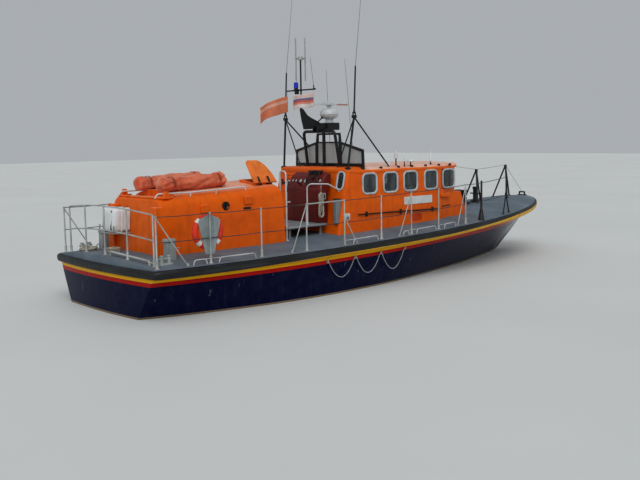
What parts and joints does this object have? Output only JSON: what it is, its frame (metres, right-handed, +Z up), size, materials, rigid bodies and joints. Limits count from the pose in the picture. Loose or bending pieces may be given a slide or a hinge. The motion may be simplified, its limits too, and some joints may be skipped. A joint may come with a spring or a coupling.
{
  "type": "sea rescue lifeboat",
  "caption": "Decked sea rescue lifeboat with an orange wheelhouse and aft cabin, guard rails, folding mast, radar, whip aerials, propellers in tunnels and rudders.",
  "frame": {"origin": "amidships on the centreline at the waterline", "axes": "+X forward to the bow, +Y to port, +Z up"},
  "size_m": [14.404, 4.5238, 8.4705],
  "materials": {
    "hull_paint": "gloss",
    "belting_rubber": "matte",
    "cabin_paint": "satin",
    "white_case": "satin",
    "grey_grating": "matte",
    "console_red": "satin",
    "wheel_black": "satin",
    "black_metal": "satin",
    "pale_metal": "satin",
    "white_plastic": "satin",
    "blue_lens": "gloss",
    "flag_cloth": "matte",
    "roll_cloth": "matte",
    "engine_block": "matte",
    "bronze": "satin",
    "buoy_orange": "satin",
    "whip_fibre": "satin",
    "rope_fibre": "matte"
  },
  "bodies": {
    "hull": {"hull": "hull_paint", "belting": "belting_rubber", "aft_cabin": "cabin_paint", "liferaft_case": "white_case", "step_platform": "grey_grating", "wheelhouse": "cabin_paint", "wheelhouse_roof": "cabin_paint", "helm_console": "console_red", "windscreen": "black_metal", "mast_arch": "black_metal", "radar_housing": "white_plastic", "stern_rail": "pale_metal", "lifebuoy_holder": "pale_metal", "lifebuoy": "buoy_orange", "jackstay_post_mid": "black_metal", "jackstay_post_fwd": "black_metal", "windlass_base": "black_metal", "bow_fairlead": "black_metal", "cabin_hoop": "white_plastic", "helm_rail": "white_plastic", "rope_hank": "rope_fibre", "hank_tail": "rope_fibre", "foredeck_vent": "black_metal", "rope_coil_stern": "rope_fibre", "rope_coil_quarter": "rope_fibre", "engine_stbd": "engine_block", "roof_rail_stbd": "white_plastic", "boat_roll_stbd": "roll_cloth", "deck_vent_stbd": "pale_metal", "aerial_stand_stbd": "black_metal", "guard_rail_stbd": "pale_metal", "stern_bollard_stbd": "pale_metal", "grab_line_stbd": "rope_fibre", "engine_port": "engine_block", "roof_rail_port": "white_plastic", "boat_roll_port": "roll_cloth", "deck_vent_port": "pale_metal", "aerial_stand_port": "black_metal", "guard_rail_port": "pale_metal", "stern_bollard_port": "pale_metal", "grab_line_port": "rope_fibre"},
    "hatch_lid": {"hatch_lid": "cabin_paint"},
    "wheelhouse_door": {"wheelhouse_door": "cabin_paint"},
    "helm_wheel": {"helm_wheel": "wheel_black"},
    "radar_scanner": {"radar_scanner": "white_plastic"},
    "mast": {"mast": "black_metal", "df_aerial": "pale_metal", "blue_light": "blue_lens", "flag_large": "flag_cloth", "flag_small": "flag_cloth"},
    "windlass_drum": {"windlass_drum": "black_metal"},
    "whip_stbd": {"whip_stbd": "whip_fibre"},
    "propeller_stbd": {"propeller_stbd": "bronze"},
    "rudder_stbd": {"rudder_stbd": "bronze"},
    "whip_port": {"whip_port": "whip_fibre"},
    "propeller_port": {"propeller_port": "bronze"},
    "rudder_port": {"rudder_port": "bronze"}
  },
  "joints": [
    {"name": "hatch_swing", "type": "hinge", "parent": "hull", "child": "hatch_lid", "pos_m": [-3.61, -0.745, 2.3399], "axis": [1, 0, 0], "range_deg": [-48.5, 35]},
    {"name": "door_swing", "type": "hinge", "parent": "hull", "child": "wheelhouse_door", "pos_m": [-1.72148, 1.008, 1.91], "axis": [-0.2238, 0, -0.9746], "range_deg": [0, 110]},
    {"name": "helm_turn", "type": "hinge", "parent": "hull", "child": "helm_wheel", "pos_m": [-1.965, -0.47, 2.39], "axis": [-0.8192, 0, 0.5736], "range_deg": [-540, 540]},
    {"name": "radar_turn", "type": "hinge", "parent": "hull", "child": "radar_scanner", "pos_m": [-0.99, 0, 4.09], "axis": [0, 0, 1], "continuous": true},
    {"name": "mast_fold", "type": "hinge", "parent": "hull", "child": "mast", "pos_m": [-1.42, 0, 3.54], "axis": [0, -1, 0], "range_deg": [0, 80]},
    {"name": "windlass_turn", "type": "hinge", "parent": "hull", "child": "windlass_drum", "pos_m": [4.05, 0, 1.54721], "axis": [0, 0, 1], "continuous": true},
    {"name": "whip_stbd_fold", "type": "hinge", "parent": "hull", "child": "whip_stbd", "pos_m": [-1.335, -1.2, 3.832], "axis": [0, -1, 0], "range_deg": [0, 90]},
    {"name": "propeller_stbd_turn", "type": "hinge", "parent": "hull", "child": "propeller_stbd", "pos_m": [-6.08, -0.76, -0.64], "axis": [0.9945, 0, 0.1045], "continuous": true},
    {"name": "rudder_stbd_turn", "type": "hinge", "parent": "hull", "child": "rudder_stbd", "pos_m": [-6.66, -0.76, -0.8], "axis": [0, 0, 1], "range_deg": [-35, 35]},
    {"name": "whip_port_fold", "type": "hinge", "parent": "hull", "child": "whip_port", "pos_m": [-1.335, 1.2, 3.832], "axis": [0, -1, 0], "range_deg": [0, 90]},
    {"name": "propeller_port_turn", "type": "hinge", "parent": "hull", "child": "propeller_port", "pos_m": [-6.08, 0.76, -0.64], "axis": [0.9945, 0, 0.1045], "continuous": true},
    {"name": "rudder_port_turn", "type": "hinge", "parent": "hull", "child": "rudder_port", "pos_m": [-6.66, 0.76, -0.8], "axis": [0, 0, 1], "range_deg": [-35, 35]}
  ],
  "couplings": [
    {"joint": "rudder_port_turn", "follows": "rudder_stbd_turn", "ratio": 1},
    {"joint": "helm_turn", "follows": "rudder_stbd_turn", "ratio": -15.4}
  ]
}
